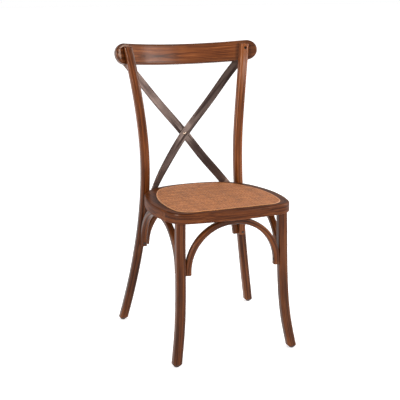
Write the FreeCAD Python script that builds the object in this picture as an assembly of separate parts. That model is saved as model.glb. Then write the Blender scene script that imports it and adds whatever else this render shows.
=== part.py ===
import FreeCAD
import Part
import math
import os

# Millimetres. The chair faces -Y, +X is its right side as seen from the front,
# and the origin is on the floor under the middle of the chair.

# Legs. Each axis is the middle of the right leg, from the floor up. Above the seat the
# last number is the share of the way from the last point of the leg to the post's top.
post_height = 883
rear_leg_axis = [(226, 173, 0), (195.7, 145, 152), (172.5, 127.5, 304), (159, 120.5, 457)]
post_axis = [(157.5, 123, 0.2136), (165.5, 131, 0.5), (180.5, 145.5, 0.7864), (194.5, 164.5, 1)]
front_leg_axis = [(185.6, -229.3, 0), (175.4, -219.3, 61), (167.8, -211.6, 122),
                  (163.8, -206.5, 183), (161, -199.4, 304), (158.9, -195, 420)]
rear_leg_stations = 12
front_leg_stations = 9
rear_leg_size = 27
front_leg_size = 28
leg_corner = 8
post_top_round = 5.5
foot_chamfer = 5
foot_chamfer_height = 6
glide_height = 3
glide_diameter = 16
glide_pin_diameter = 5
glide_pin_length = 12

# Crest rail, bent to one radius and leaning back behind the posts.
rail_length = 469
rail_height = 63.5
rail_thickness = 24
rail_radius = 450
rail_lean = 12.5
rail_y = 220.5
rail_drop = 34.5
rail_edge = 5.5

# Seat frame, drawn level and then tilted about its front edge.
seat_underside = 418.7
seat_tilt = 1.5
seat_pivot_y = -201.5
frame_thickness = 30.5
frame_width = 406
frame_widest_y = -75
frame_side_radius = 420
frame_front_y = -236
frame_front_radius = 900
frame_front_corner = 60
frame_rear_y = 166
frame_rear_radius = 400
frame_rear_corner = 147
frame_top_edge = 5.5
frame_bottom_edge = 3
front_joint_y = -165
rear_joint_y = 72
finger_length = 15
finger_height = 10

# Woven mat and the plywood panel under it.
mat_width = 346
mat_widest_y = -97
mat_side_radius = 405
mat_front_y = -218
mat_front_radius = 1300
mat_front_corner = 60
mat_rear_y = 138
mat_rear_radius = 265
mat_rear_corner = 80
mat_rise = 3
mat_thickness = 6
mat_dome_radius = 3600
mat_edge = 2.5
panel_thickness = 9
panel_clearance = 0.4
ledge_width = 18

# Bent arches between the legs.
arch_radial = 18
arch_depth = 19
arch_corner = 5
arch_bend_radius = 136
arch_foot_z = 264
arch_press = 0.8
front_arch_y = -203.5
rear_arch_y = 129
side_arch_front_x = 160
side_arch_rear_x = 170
rear_arch_lean = 7.5

# Flat metal straps, each bent through two more points (across, back, share of the way up).
strap_width = 27.5
strap_thickness = 3
strap_edge = 0.7
strap_fit = 0.2
strap_cross_y = 190
strap_cross_share = 0.3752
strap_upper = (86, 193, 0.6281)
strap_lower = (61, 176, 0.1711)
strap_top_x = 199
strap_top_rise = -17
strap_top_slope = 49
strap_bottom_x = 130
strap_bottom_slope = 50
strap_flat = 1.2
strap_tab_length = 17
strap_ease = 1
strap_stations = 11

# Fasteners.
screw_shank = 4.4
screw_head = 8
screw_head_height = 2
screw_fit = 0.2
screw_grip = 11
plug_bore = 9
plug_depth = 4
crest_screw_drop = 14
crest_screw_length = 30
cross_screw_rise = 16
side_screw_rise = 9
arch_screw_spread = 9
panel_screw_x = 92
panel_screw_y = -150
bolt_shank = 6
bolt_head = 12
bolt_head_height = 5
bolt_fit = 0.3
bolt_aim_y = 110
bolt_angle = 45
bolt_reach = 34
bolt_grip = 4
tenon_diameter = 18
tenon_length = 13
tenon_fit = 0.3
rivet_head = 9
rivet_head_height = 2.2
rivet_shank = 5


def vec(x, y, z=0.0):
    return FreeCAD.Vector(x, y, z)


up = vec(0, 0, 1)


def mirrored(shape):
    return shape.mirror(vec(0, 0), vec(1, 0))


def both_sides(shapes):
    return shapes + [mirrored(shape) for shape in shapes]


def cylinder(at, direction, diameter, length):
    return Part.makeCylinder(diameter / 2, length, at, direction)


def arc(start, middle, end):
    return Part.Arc(start, middle, end).toShape()


def line(start, end):
    return Part.makeLine(start, end)


def dome(diameter, rise):
    # A slice of a sphere that stands on the XY plane.
    base = diameter / 2
    radius = (base ** 2 + rise ** 2) / (2 * rise)
    lowest = math.degrees(math.asin((radius - rise) / radius))
    return Part.makeSphere(radius, vec(0, 0, rise - radius), up, lowest, 90, 360)


def rounded_section(width, depth, radius):
    # Closed outline in the XY plane, centred on the origin.
    x = width / 2
    y = depth / 2
    near = radius * (1 - math.sqrt(0.5))
    edges = []
    for sx, sy in [(1, 1), (-1, 1), (-1, -1), (1, -1)]:
        on_side = vec(sx * x, sy * (y - radius))
        on_end = vec(sx * (x - radius), sy * y)
        middle = vec(sx * (x - near), sy * (y - near))
        if sx == sy:
            edges.append(arc(on_side, middle, on_end))
        else:
            edges.append(arc(on_end, middle, on_side))
    corners = edges
    edges = []
    for index, corner in enumerate(corners):
        following = corners[(index + 1) % len(corners)]
        edges.append(corner)
        edges.append(line(corner.lastVertex().Point, following.firstVertex().Point))
    return Part.Wire(edges)


def chamfered_section(width, depth, chamfer):
    x = width / 2
    y = depth / 2
    points = [vec(x - chamfer, -y), vec(x, chamfer - y), vec(x, y - chamfer), vec(x - chamfer, y),
              vec(chamfer - x, y), vec(-x, y - chamfer), vec(-x, chamfer - y), vec(chamfer - x, -y)]
    return Part.makePolygon(points + points[:1])


def section_at(outline, origin, x_axis, z_axis):
    # Moves an outline from the XY plane to a plane square to z_axis.
    y_axis = z_axis.cross(x_axis)
    turn = FreeCAD.Rotation(x_axis, y_axis, z_axis, "ZXY")
    moved = outline.copy()
    moved.Placement = FreeCAD.Placement(origin, turn)
    return moved


# Legs

def axis_curve(points):
    curve = Part.BSplineCurve()
    curve.interpolate([vec(*point) for point in points])
    return curve


def post_points():
    base = rear_leg_axis[-1][2]
    return [(x, y, base + share * (post_height - base)) for x, y, share in post_axis]


rear_axis = axis_curve(rear_leg_axis + post_points())
front_axis = axis_curve(front_leg_axis)


def axis_at(curve, z):
    low = curve.FirstParameter
    high = curve.LastParameter
    for _ in range(40):
        middle = (low + high) / 2
        if curve.value(middle).z < z:
            low = middle
        else:
            high = middle
    return curve.value(low)


def level_section(curve, size, z):
    outline = rounded_section(size, size, leg_corner * size / rear_leg_size)
    outline.translate(axis_at(curve, z))
    return outline


def leg_blank(curve, size, top, stations):
    shoulder = glide_height + foot_chamfer_height
    step = (top - shoulder) / (stations - 1)
    heights = [shoulder + step * index for index in range(stations)]
    body = Part.makeLoft([level_section(curve, size, z) for z in heights], True)
    foot = level_section(curve, size - 2 * foot_chamfer, glide_height)
    chamfer = Part.makeLoft([foot, level_section(curve, size, shoulder)], True, True)
    return body.fuse(chamfer)


def foot_centre(curve):
    return axis_at(curve, glide_height)


def bore_for_glide(leg, curve):
    pin = cylinder(foot_centre(curve), up, glide_pin_diameter + screw_fit, glide_pin_length + 1)
    return leg.cut(pin)


def glide(curve):
    at = foot_centre(curve)
    pad = Part.makeCone(glide_diameter / 2 - 1.5, glide_diameter / 2, glide_height, vec(at.x, at.y, 0))
    pin = cylinder(at, up, glide_pin_diameter, glide_pin_length)
    return pad.fuse(pin)


# Crest rail

def rail_frame():
    lean = math.radians(rail_lean)
    back = vec(0, math.cos(lean), -math.sin(lean))
    middle = vec(0, rail_y, post_height - rail_drop)
    return FreeCAD.Placement(middle, FreeCAD.Rotation(vec(1, 0), back, vec(0, 1), "XYZ"))


def rail_point(x, rise, offset):
    # A point at distance offset behind the middle of the rail's thickness.
    radius = rail_radius + offset
    return rail_frame().multVec(vec(x, math.sqrt(radius ** 2 - x ** 2) - rail_radius, rise))


def rail_normal(x):
    radius = rail_radius + rail_thickness / 2
    normal = vec(x / radius, math.sqrt(1 - (x / radius) ** 2))
    return rail_frame().Rotation.multVec(normal)


def rail_tube(inner, outer, low, high):
    centre = vec(0, -rail_radius, low)
    ring = Part.makeCylinder(outer, high - low, centre).cut(Part.makeCylinder(inner, high - low, centre))
    return ring


def rail_outline():
    end = rail_length / 2
    half = rail_height / 2
    straight = end - half
    edges = [line(vec(-straight, 0, half), vec(straight, 0, half)),
             arc(vec(straight, 0, half), vec(end, 0, 0), vec(straight, 0, -half)),
             line(vec(straight, 0, -half), vec(-straight, 0, -half)),
             arc(vec(-straight, 0, -half), vec(-end, 0, 0), vec(-straight, 0, half))]
    return Part.Face(Part.Wire(edges))


def rail_blank():
    inner = rail_radius - rail_thickness / 2
    outer = rail_radius + rail_thickness / 2
    half = rail_height / 2
    reach = rail_radius / 2
    blank = rail_outline()
    blank.translate(vec(0, -reach))
    blank = blank.extrude(vec(0, 2 * reach))
    bent = blank.common(rail_tube(inner, outer, -half, half))
    broad = [face for face in bent.Faces
             if isinstance(face.Surface, Part.Cylinder) and face.Surface.Radius > rail_radius / 2]
    edges = [edge for face in broad for edge in face.Edges]
    rounded = bent.makeFillet(rail_edge, edges)
    rounded.Placement = rail_frame().multiply(rounded.Placement)
    return rounded


def behind_rail_face():
    # The space behind the rail's front face, from its lower edge upwards.
    inner = rail_radius - rail_thickness / 2
    space = rail_tube(inner, inner + 3 * rail_thickness, -rail_height / 2, rail_height)
    space.Placement = rail_frame().multiply(space.Placement)
    return space


# Seat outlines, each a closed chain of eight arcs that are tangent to each other

def corner_circle(centre_a, radius_a, centre_b, radius_b, radius):
    # Centre of the circle that touches two larger circles from inside.
    a = radius_a - radius
    b = radius_b - radius
    span = centre_b - centre_a
    distance = span.Length
    along = (a * a - b * b + distance * distance) / (2 * distance)
    across = math.sqrt(a * a - along * along)
    unit = span * (1 / distance)
    side = vec(-unit.y, unit.x)
    choices = [centre_a + unit * along + side * across, centre_a + unit * along - side * across]
    return max(choices, key=lambda point: point.x)


def toward(centre, point, radius):
    unit = point - centre
    unit.normalize()
    return centre + unit * radius


class SeatOutline:
    def __init__(self, width, widest_y, side, front_y, front, front_corner, rear_y, rear, rear_corner):
        self.width = width
        self.widest_y = widest_y
        self.side = side
        self.front_y = front_y
        self.front = front
        self.front_corner = front_corner
        self.rear_y = rear_y
        self.rear = rear
        self.rear_corner = rear_corner

    def inset(self, amount):
        return SeatOutline(self.width - 2 * amount, self.widest_y, self.side - amount,
                           self.front_y + amount, self.front - amount, self.front_corner - amount,
                           self.rear_y - amount, self.rear - amount, self.rear_corner - amount)

    def side_centre(self):
        return vec(self.width / 2 - self.side, self.widest_y)

    def front_centre(self):
        return vec(0, self.front_y + self.front)

    def rear_centre(self):
        return vec(0, self.rear_y - self.rear)

    def front_corner_centre(self):
        return corner_circle(self.side_centre(), self.side, self.front_centre(), self.front,
                             self.front_corner)

    def rear_corner_centre(self):
        return corner_circle(self.side_centre(), self.side, self.rear_centre(), self.rear,
                             self.rear_corner)

    def wire(self):
        front_corner = self.front_corner_centre()
        rear_corner = self.rear_corner_centre()
        front_end = toward(self.front_centre(), front_corner, self.front)
        side_front = toward(self.side_centre(), front_corner, self.side)
        side_rear = toward(self.side_centre(), rear_corner, self.side)
        rear_end = toward(self.rear_centre(), rear_corner, self.rear)

        def corner_arc(start, centre, end):
            middle = toward(centre, (start + end) * 0.5, (start - centre).Length)
            return arc(start, middle, end)

        right = [corner_arc(front_end, front_corner, side_front),
                 corner_arc(side_front, self.side_centre(), side_rear),
                 corner_arc(side_rear, rear_corner, rear_end)]
        front = arc(mirrored_point(front_end), vec(0, self.front_y), front_end)
        rear = arc(rear_end, vec(0, self.rear_y), mirrored_point(rear_end))
        edges = [front] + right + [rear] + [mirrored(edge) for edge in right]
        return Part.Wire(Part.__sortEdges__(edges))

    def prism(self, low, high):
        face = Part.Face(self.wire())
        face.translate(up * low)
        return face.extrude(up * (high - low))

    def rear_point(self, x):
        # The point of the rear edge at x, and the outward normal there.
        corner = self.rear_corner_centre()
        rear_end = toward(self.rear_centre(), corner, self.rear)
        if abs(x) <= rear_end.x:
            centre, radius = self.rear_centre(), self.rear
        else:
            centre, radius = corner, self.rear_corner
        point = vec(abs(x), centre.y + math.sqrt(radius ** 2 - (abs(x) - centre.x) ** 2))
        normal = point - centre
        normal.normalize()
        sign = math.copysign(1, x)
        return vec(sign * point.x, point.y), vec(sign * normal.x, normal.y)

    def front_edge_y(self, x):
        return self.front_y + self.front - math.sqrt(self.front ** 2 - x ** 2)

    def side_edge_x(self, y):
        return self.side_centre().x + math.sqrt(self.side ** 2 - (y - self.widest_y) ** 2)


def mirrored_point(point):
    return vec(-point.x, point.y, point.z)


frame_outline = SeatOutline(frame_width, frame_widest_y, frame_side_radius,
                            frame_front_y, frame_front_radius, frame_front_corner,
                            frame_rear_y, frame_rear_radius, frame_rear_corner)
mat_outline = SeatOutline(mat_width, mat_widest_y, mat_side_radius,
                          mat_front_y, mat_front_radius, mat_front_corner,
                          mat_rear_y, mat_rear_radius, mat_rear_corner)
frame_top = seat_underside + frame_thickness
ledge_z = frame_top + mat_rise - mat_thickness - panel_thickness


def tilted(shape):
    # Tilts a level seat piece about the seat's front, so that the rear is lower.
    turned = shape.copy()
    turned.rotate(vec(0, seat_pivot_y, seat_underside), vec(1, 0), -seat_tilt)
    return turned


def tilted_point(point):
    turn = FreeCAD.Rotation(vec(1, 0), -seat_tilt)
    pivot = vec(0, seat_pivot_y, seat_underside)
    return pivot + turn.multVec(point - pivot)


def underside_z(y):
    return seat_underside - (y - seat_pivot_y) * math.tan(math.radians(seat_tilt))


seat_down = FreeCAD.Rotation(vec(1, 0), -seat_tilt).multVec(vec(0, 0, -1))
seat_up = seat_down * -1


def frame_ring():
    blank = frame_outline.prism(seat_underside, frame_top)
    top = [edge for edge in blank.Edges if edge.BoundBox.ZMin > frame_top - 0.1]
    bottom = [edge for edge in blank.Edges if edge.BoundBox.ZMax < seat_underside + 0.1]
    blank = blank.makeFillet(frame_top_edge, top)
    bottom = [edge for edge in blank.Edges if edge.BoundBox.ZMax < seat_underside + 0.1]
    blank = blank.makeFillet(frame_bottom_edge, bottom)
    opening = mat_outline.inset(ledge_width).prism(seat_underside - 1, frame_top + 1)
    rebate = mat_outline.inset(-panel_clearance).prism(ledge_z, frame_top + 1)
    return blank.cut(opening).cut(rebate)


def block(x, low_y, high_y, low_z, high_z):
    return Part.makeBox(2 * x, high_y - low_y, high_z - low_z, vec(-x, low_y, low_z))


def joint_block(edge_y, direction):
    # One end of the frame, with a middle finger that reaches into the side rails.
    far = frame_width
    middle = (seat_underside + ledge_z) / 2
    low = min(edge_y, edge_y + direction * far)
    body = block(far, low, low + far, seat_underside - 1, frame_top + 1)
    finger_low = min(edge_y, edge_y - direction * finger_length)
    finger = block(far, finger_low, finger_low + finger_length,
                   middle - finger_height / 2, middle + finger_height / 2)
    return body.fuse(finger)


def seat_panel():
    return mat_outline.inset(panel_clearance).prism(ledge_z, ledge_z + panel_thickness)


def rattan_mat():
    base = ledge_z + panel_thickness
    rim = base + mat_thickness
    blank = mat_outline.inset(panel_clearance).prism(base, rim + 3 * mat_rise)
    reach = mat_width / 2
    drop = mat_dome_radius - math.sqrt(mat_dome_radius ** 2 - reach ** 2)
    centre_y = (mat_front_y + mat_rear_y) / 2
    dome = Part.makeSphere(mat_dome_radius, vec(0, centre_y, rim + drop - mat_dome_radius))
    mat = blank.common(dome)
    top = [edge for edge in mat.Edges if edge.BoundBox.ZMin > rim - mat_thickness / 2]
    return mat.makeFillet(mat_edge, top)


# Arches

def arch_path(foot_a, foot_b, lean_a, lean_b):
    # Lines and arcs from foot to foot, with limbs that spread by their lean angles
    # and a top that follows the slope of the seat.
    span = foot_b - foot_a
    span.z = 0
    along = span * (1 / span.Length)

    def limb_of(inward, lean):
        return up * math.cos(math.radians(lean)) + inward * math.sin(math.radians(lean))

    def peak_of(foot, limb):
        slope = math.tan(math.radians(seat_tilt))
        height = underside_z(foot.y) - arch_radial / 2 + arch_press / 3 - foot.z
        return foot + limb * (height / (limb.z + slope * limb.y))

    limb_a = limb_of(along, lean_a)
    limb_b = limb_of(along * -1, lean_b)
    peak_a = peak_of(foot_a, limb_a)
    peak_b = peak_of(foot_b, limb_b)
    top = peak_b - peak_a
    top.normalize()

    def corner(peak, limb, inward):
        turn = limb.getAngle(inward)
        reach = arch_bend_radius * math.tan(turn / 2)
        start = peak - limb * reach
        end = peak + inward * reach
        inside = inward - limb
        inside.normalize()
        middle = peak + inside * (arch_bend_radius / math.cos(turn / 2) - arch_bend_radius)
        return start, middle, end

    a_start, a_middle, a_end = corner(peak_a, limb_a, top)
    b_start, b_middle, b_end = corner(peak_b, limb_b, top * -1)
    return Part.Wire([line(foot_a, a_start), arc(a_start, a_middle, a_end), line(a_end, b_end),
                      arc(b_end, b_middle, b_start), line(b_start, foot_b)])


def arch_solid(foot_a, foot_b, lean_a, lean_b, legs):
    path = arch_path(foot_a, foot_b, lean_a, lean_b)
    span = foot_b - foot_a
    span.z = 0
    across = span.cross(up)
    across.normalize()
    start = path.Edges[0].tangentAt(path.Edges[0].FirstParameter)
    outline = rounded_section(arch_radial, arch_depth, arch_corner)
    profile = section_at(outline, foot_a, across.cross(start), start)
    bent = path.makePipeShell([profile], True, False)
    bent = bent.cut(tilted(block(frame_width, -frame_width, frame_width, seat_underside, frame_top)))
    for leg in legs:
        bent = bent.cut(leg)
    return bent


def front_arch_foot():
    inner_face = axis_at(front_axis, arch_foot_z).x - front_leg_size / 2
    return vec(inner_face - arch_radial / 2 + arch_press, front_arch_y, arch_foot_z)


def rear_arch_foot():
    inner_face = axis_at(rear_axis, arch_foot_z).x - rear_leg_size / 2
    return vec(inner_face - arch_radial / 2 + arch_press, rear_arch_y, arch_foot_z)


def side_arch_feet():
    front_face = axis_at(front_axis, arch_foot_z).y + front_leg_size / 2
    rear_face = axis_at(rear_axis, arch_foot_z).y - rear_leg_size / 2
    inset = arch_radial / 2 - arch_press
    return (vec(side_arch_front_x, front_face + inset, arch_foot_z),
            vec(side_arch_rear_x, rear_face - inset, arch_foot_z))


# Straps

def strap_height(share):
    # From the seat's top to the middle of the crest rail.
    return frame_top + share * (post_height - rail_drop - frame_top)


def strap_seat_at_rail(side):
    # Middle of the upper screw hole, the rail's outward normal and the way to the free end.
    at = rail_point(side * strap_top_x, strap_top_rise, (rail_thickness + strap_thickness) / 2)
    normal = rail_normal(side * strap_top_x)
    level = vec(normal.y, -normal.x)
    level.normalize()
    upright = level.cross(normal)
    slope = math.radians(strap_top_slope)
    run = level * (side * math.cos(slope)) + upright * math.sin(slope)
    return at, normal, run


def strap_seat_at_frame(side):
    # The same at the lower end, on the flat that is cut in the seat frame.
    edge, outward = frame_outline.rear_point(-side * strap_bottom_x)
    at = edge + outward * (strap_thickness / 2 - strap_flat)
    at.z = seat_underside + frame_thickness / 2
    level = vec(outward.y, -outward.x)
    slope = math.radians(strap_bottom_slope)
    run = level * (-side * math.cos(slope)) - up * math.sin(slope)
    turn = FreeCAD.Rotation(vec(1, 0), -seat_tilt)
    return tilted_point(at), turn.multVec(outward), turn.multVec(run)


def strap_flat_cut(side):
    at, normal, _ = strap_seat_at_frame(side)
    level = normal.cross(up)
    level.normalize()
    size = 2 * frame_thickness
    cut = Part.makeBox(size, size, strap_width, vec(-size / 2, -size / 2, 0))
    turn = FreeCAD.Rotation(level, normal.cross(level), normal, "ZXY")
    cut.Placement = FreeCAD.Placement(at - normal * (strap_thickness / 2), turn)
    return cut


def strap_tab(at, normal, run):
    # The flat end that is screwed down, with a half-round free end.
    half = strap_width / 2
    edges = [line(vec(-strap_tab_length, -half), vec(0, -half)),
             arc(vec(0, -half), vec(half, 0), vec(0, half)),
             line(vec(0, half), vec(-strap_tab_length, half)),
             line(vec(-strap_tab_length, half), vec(-strap_tab_length, -half))]
    face = Part.Face(Part.Wire(edges))
    face.translate(up * (-strap_thickness / 2))
    tab = face.extrude(up * strap_thickness)
    rims = [edge for edge in tab.Edges
            if edge.BoundBox.ZLength < 0.01 and edge.BoundBox.XMax > 0.01 - strap_tab_length]
    tab = tab.makeChamfer(strap_edge, rims)
    tab.Placement = FreeCAD.Placement(at, FreeCAD.Rotation(run, normal.cross(run), normal, "ZXY"))
    return tab


def strap(side):
    # side is the side of the upper end. The strap that rises to the right runs in front.
    top_at, top_normal, top_run = strap_seat_at_rail(side)
    low_at, low_normal, low_run = strap_seat_at_frame(side)
    leave = top_at - top_run * strap_tab_length
    arrive = low_at - low_run * strap_tab_length
    cross = rivet_centre() - vec(0, side * (strap_thickness + strap_fit) / 2)
    upper = vec(side * strap_upper[0], strap_upper[1], strap_height(strap_upper[2]))
    lower = vec(-side * strap_lower[0], strap_lower[1], strap_height(strap_lower[2]))
    spine = Part.BSplineCurve()
    spine.interpolate(Points=[leave, upper, cross, lower, arrive],
                      InitialTangent=top_run * -strap_ease, FinalTangent=low_run * strap_ease)
    first = spine.FirstParameter
    last = spine.LastParameter
    middle = spine.parameter(cross)
    run = spine.tangent(middle)[0]
    cross_normal = vec(0, -run.z, run.y)
    outline = chamfered_section(strap_thickness, strap_width, strap_edge)
    sections = []
    for index in range(strap_stations):
        at = first + (last - first) * index / (strap_stations - 1)
        if at < middle:
            blend = 1 - ((middle - at) / (middle - first)) ** 2
            normal = top_normal * (1 - blend) + cross_normal * blend
        else:
            blend = ((at - middle) / (last - middle)) ** 2
            normal = cross_normal * (1 - blend) + low_normal * blend
        run = spine.tangent(at)[0]
        normal = normal - run * normal.dot(run)
        normal.normalize()
        sections.append(section_at(outline, spine.value(at), normal, run))
    bar = Part.makeLoft(sections, True)
    bar = bar.fuse([strap_tab(top_at, top_normal, top_run), strap_tab(low_at, low_normal, low_run)])
    bore = screw_shank + screw_fit
    for at, normal in [(top_at, top_normal), (low_at, low_normal)]:
        bar = bar.cut(cylinder(at - normal * strap_width, normal, bore, 2 * strap_width))
    return bar.cut(rivet_bore())


def rivet_centre():
    return vec(0, strap_cross_y, strap_height(strap_cross_share))


def rivet_bore():
    return cylinder(rivet_centre() - vec(0, strap_width), vec(0, 1), rivet_shank + screw_fit,
                    2 * strap_width)


def cross_rivet():
    half = strap_thickness + strap_fit / 2 + 0.05
    front = dome(rivet_head, rivet_head_height)
    front.translate(up * half)
    back = dome(rivet_head, rivet_head_height)
    back.rotate(vec(0, 0), vec(1, 0), 180)
    back.translate(up * -half)
    shank = Part.makeCylinder(rivet_shank / 2, 2 * half, vec(0, 0, -half))
    body = shank.fuse([front, back])
    body.Placement = FreeCAD.Placement(rivet_centre(), FreeCAD.Rotation(up, vec(0, -1)))
    return body


# Fasteners

class Screw:
    def __init__(self, at, into, length, head=screw_head, rise=screw_head_height, shank=screw_shank):
        self.at = at
        self.into = into
        self.length = length
        self.head = head
        self.rise = rise
        self.shank = shank

    def solid(self):
        shank = Part.makeCylinder(self.shank / 2, self.length, vec(0, 0, -self.length))
        body = shank.fuse(dome(self.head, self.rise))
        body.Placement = FreeCAD.Placement(self.at, FreeCAD.Rotation(up, self.into * -1))
        return body

    def hole(self):
        # The drilled hole, with a spot face that lets the head sit flat on a curved side.
        drill = cylinder(self.at - self.into * screw_fit, self.into, self.shank + screw_fit,
                         self.length + 2 * screw_fit)
        spot = cylinder(self.at - self.into * self.head, self.into, self.head + 2 * screw_fit, self.head)
        return drill.fuse(spot)

    def mirrored(self):
        return Screw(mirrored_point(self.at), mirrored_point(self.into), self.length,
                     self.head, self.rise, self.shank)


def drilled(shape, screws):
    for screw in screws:
        shape = shape.cut(screw.hole())
    return shape


def with_twins(screws):
    return screws + [screw.mirrored() for screw in screws]


def crest_screw():
    # Sits at the bottom of a plug bore in the front of the post.
    face = axis_at(rear_axis, post_height - crest_screw_drop) - vec(0, rear_leg_size / 2)
    into = rail_frame().Rotation.multVec(vec(0, 1))
    return Screw(face + into * plug_depth, into, crest_screw_length)


def plug_bore_cut():
    screw = crest_screw()
    return cylinder(screw.at - screw.into * 3 * plug_depth, screw.into, plug_bore, 3 * plug_depth)


def upper_strap_screw(side):
    at, normal, _ = strap_seat_at_rail(side)
    return Screw(at + normal * (strap_thickness / 2), normal * -1, strap_thickness + screw_grip)


def lower_strap_screw(side):
    at, normal, _ = strap_seat_at_frame(side)
    return Screw(at + normal * (strap_thickness / 2), normal * -1, strap_thickness + screw_grip)


def limb_screw(foot, outward, lean, rise):
    limb = up * math.cos(math.radians(lean)) - outward * math.sin(math.radians(lean))
    into = outward * math.cos(math.radians(lean)) + up * math.sin(math.radians(lean))
    return Screw(foot + limb * rise - into * (arch_radial / 2), into, arch_radial + screw_grip)


def front_arch_screw():
    return limb_screw(front_arch_foot(), vec(1, 0), 0, cross_screw_rise)


def rear_arch_screw():
    return limb_screw(rear_arch_foot(), vec(1, 0), rear_arch_lean, cross_screw_rise)


def side_arch_screws():
    front, rear = side_arch_feet()
    along = rear - front
    along.normalize()
    return [limb_screw(front, along * -1, 0, side_screw_rise),
            limb_screw(rear, along, 0, side_screw_rise)]


def top_screw(x, y):
    # Driven up through the flat top of an arch into the seat frame.
    at = vec(x, y, underside_z(y)) + seat_down * arch_radial
    return Screw(at, seat_up, arch_radial + screw_grip)


def front_top_screws():
    return with_twins([top_screw(arch_screw_spread, front_arch_y)])


def rear_top_screws():
    return with_twins([top_screw(arch_screw_spread, rear_arch_y)])


def side_top_screws():
    front, rear = side_arch_feet()
    middle = (front + rear) * 0.5
    along = rear - front
    along.normalize()
    places = [middle + along * spread for spread in (-arch_screw_spread, arch_screw_spread)]
    return [top_screw(place.x, place.y) for place in places]


def panel_screws():
    line_of_screws = mat_outline.inset(ledge_width / 2)
    rear = line_of_screws.rear_point(panel_screw_x)[0]
    places = [(panel_screw_x, line_of_screws.front_edge_y(panel_screw_x)),
              (line_of_screws.side_edge_x(panel_screw_y), panel_screw_y),
              (rear.x, rear.y)]
    reach = ledge_z - seat_underside + panel_thickness / 2
    return with_twins([Screw(tilted_point(vec(x, y, seat_underside)), seat_up, reach)
                       for x, y in places])


def corner_bolt():
    # Runs from inside the seat frame, through its corner, into the rear post.
    height = tilted_point(vec(0, bolt_aim_y, (seat_underside + ledge_z) / 2)).z
    post = axis_at(rear_axis, height)
    into = vec(math.sin(math.radians(bolt_angle)), math.cos(math.radians(bolt_angle)))
    at = post - into * bolt_reach
    return Screw(at, into, bolt_reach + bolt_grip, bolt_head, bolt_head_height, bolt_shank)


def bolt_counterbore():
    bolt = corner_bolt()
    return cylinder(bolt.at - bolt.into * 4 * bolt_head, bolt.into, bolt_head + 2 * bolt_fit,
                    4 * bolt_head)


# Assembly

def front_tenon(fit):
    foot = axis_at(front_axis, seat_underside)
    at = vec(foot.x, foot.y, underside_z(foot.y))
    start = at + seat_down * 2
    return cylinder(start, seat_up, tenon_diameter + fit, 2 + tenon_length + fit)


def rear_leg():
    leg = leg_blank(rear_axis, rear_leg_size, post_height, rear_leg_stations)
    rim = [edge for edge in leg.Edges if edge.BoundBox.ZMin > post_height - 0.1]
    leg = leg.makeFillet(post_top_round, rim)
    leg = leg.cut(behind_rail_face()).cut(plug_bore_cut())
    leg = drilled(leg, [crest_screw(), rear_arch_screw(), side_arch_screws()[1], corner_bolt()])
    return bore_for_glide(leg, rear_axis)


def front_leg():
    above = tilted(block(frame_width, -frame_width, frame_width, seat_underside, 2 * frame_top))
    leg = leg_blank(front_axis, front_leg_size, front_leg_axis[-1][2], front_leg_stations).cut(above)
    leg = leg.fuse(front_tenon(0))
    leg = drilled(leg, [front_arch_screw(), side_arch_screws()[0]])
    return bore_for_glide(leg, front_axis)


def crest_rail():
    screws = with_twins([crest_screw(), upper_strap_screw(1)])
    return drilled(rail_blank(), screws)


def seat_frame(rear_legs):
    ring = tilted(frame_ring())
    for leg in rear_legs:
        ring = ring.cut(leg)
    for cut in both_sides([front_tenon(tenon_fit), bolt_counterbore(), corner_bolt().hole()]):
        ring = ring.cut(cut)
    for side in (1, -1):
        ring = ring.cut(strap_flat_cut(side))
    screws = front_top_screws() + rear_top_screws() + panel_screws()
    screws += with_twins(side_top_screws() + [lower_strap_screw(-1)])
    ring = drilled(ring, screws)
    front = tilted(joint_block(front_joint_y, -1))
    rear = tilted(joint_block(rear_joint_y, 1))
    front_rail = ring.common(front)
    rear_rail = ring.common(rear)
    sides = ring.cut(front).cut(rear).Solids
    right_rail = max(sides, key=lambda solid: solid.CenterOfMass.x)
    left_rail = min(sides, key=lambda solid: solid.CenterOfMass.x)
    return front_rail, rear_rail, left_rail, right_rail


def front_arch(legs):
    foot = front_arch_foot()
    arch = arch_solid(mirrored_point(foot), foot, 0, 0, legs)
    return drilled(arch, with_twins([front_arch_screw()]) + front_top_screws())


def rear_arch(legs):
    foot = rear_arch_foot()
    arch = arch_solid(mirrored_point(foot), foot, rear_arch_lean, rear_arch_lean, legs)
    return drilled(arch, with_twins([rear_arch_screw()]) + rear_top_screws())


def side_arch(legs):
    front, rear = side_arch_feet()
    arch = arch_solid(front, rear, 0, 0, legs)
    return drilled(arch, side_arch_screws() + side_top_screws())


def save(name, shape):
    solids = shape.Solids
    if len(solids) == 1:
        shape = solids[0]
    else:
        shape = Part.makeCompound(solids)
    shape.exportStep("parts/" + name + ".step")
    print(name, len(solids), shape.isValid(), round(shape.Volume / 1000, 1))


def group(screws):
    return Part.makeCompound([screw.solid() for screw in screws])


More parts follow.
